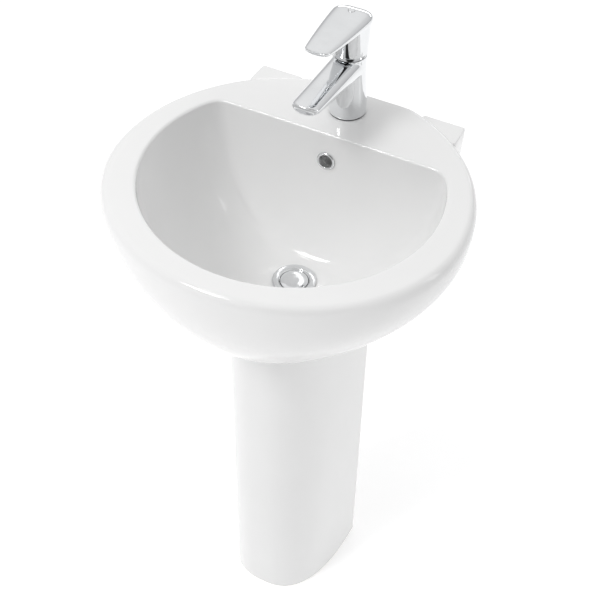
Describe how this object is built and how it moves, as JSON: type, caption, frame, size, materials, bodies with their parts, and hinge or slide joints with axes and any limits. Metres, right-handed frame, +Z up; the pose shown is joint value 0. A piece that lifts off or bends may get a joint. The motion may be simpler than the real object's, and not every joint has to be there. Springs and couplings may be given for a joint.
{
  "type": "pedestal wash basin",
  "caption": "Round ceramic wash basin on a hollow pedestal, with a single-lever mixer tap, overflow ring, push-plug waste and chrome bottle trap.",
  "frame": {"origin": "on the floor, at the middle of the basin's width and depth", "axes": "+Z up, +Y towards the wall, so the front faces -Y, and +X to the right of someone facing the wall"},
  "size_m": [0.5, 0.45, 0.9996],
  "materials": {
    "glazed_ceramic": "white gloss glaze",
    "chrome": "polished chrome plate",
    "brass": "plain turned brass",
    "steel": "zinc-plated steel",
    "black_rubber": "soft black rubber",
    "white_sealant": "cured white silicone",
    "white_plastic": "moulded nylon",
    "grey_plastic": "moulded acetal"
  },
  "bodies": {
    "basin_set": {"basin": "glazed_ceramic", "pedestal": "glazed_ceramic", "joint_seal": "white_sealant", "tap_body": "chrome", "tap_base_seal": "black_rubber", "cartridge": "grey_plastic", "cartridge_nut": "brass", "cartridge_dome": "chrome", "aerator_housing": "chrome", "aerator_seal": "black_rubber", "aerator_insert": "grey_plastic", "tap_stud": "steel", "tap_rubber_washer": "black_rubber", "tap_clamp_plate": "steel", "tap_stud_nut": "brass", "hot_inlet": "brass", "cold_inlet": "brass", "overflow_ring": "chrome", "waste_body": "chrome", "waste_top_seal": "black_rubber", "waste_lower_seal": "black_rubber", "waste_back_nut": "brass", "plug_guide": "white_plastic", "trap_inlet_nut": "chrome", "trap_inlet_washer": "black_rubber", "trap_head": "chrome", "trap_cup": "chrome", "trap_outlet_nut": "chrome", "outlet_pipe": "chrome", "wall_rosette": "chrome", "wall_stud_left": "steel", "wall_stud_right": "steel", "wall_collar_left": "white_plastic", "wall_collar_right": "white_plastic", "wall_washer_left": "steel", "wall_washer_right": "steel", "wall_nut_left": "steel", "wall_nut_right": "steel"},
    "cartridge_head": {"cartridge_turret": "white_plastic", "stem_pin": "steel"},
    "lever_set": {"lever": "chrome", "stem": "steel", "lever_screw": "steel", "lever_cap": "chrome"},
    "plug_set": {"plug": "chrome", "plug_seal": "black_rubber", "plug_stem": "brass"}
  },
  "joints": [
    {"name": "lever_swivel", "type": "hinge", "parent": "basin_set", "child": "cartridge_head", "pos_m": [0, 0.178, 0.926], "axis": [0, 0, 1], "range_deg": [-45, 45]},
    {"name": "lever_lift", "type": "hinge", "parent": "cartridge_head", "child": "lever_set", "pos_m": [0, 0.178, 0.926], "axis": [-1, 0, 0], "range_deg": [0, 25]},
    {"name": "plug_travel", "type": "slide", "parent": "basin_set", "child": "plug_set", "axis": [0, 0, 1], "range_m": [0, 0.008]}
  ]
}
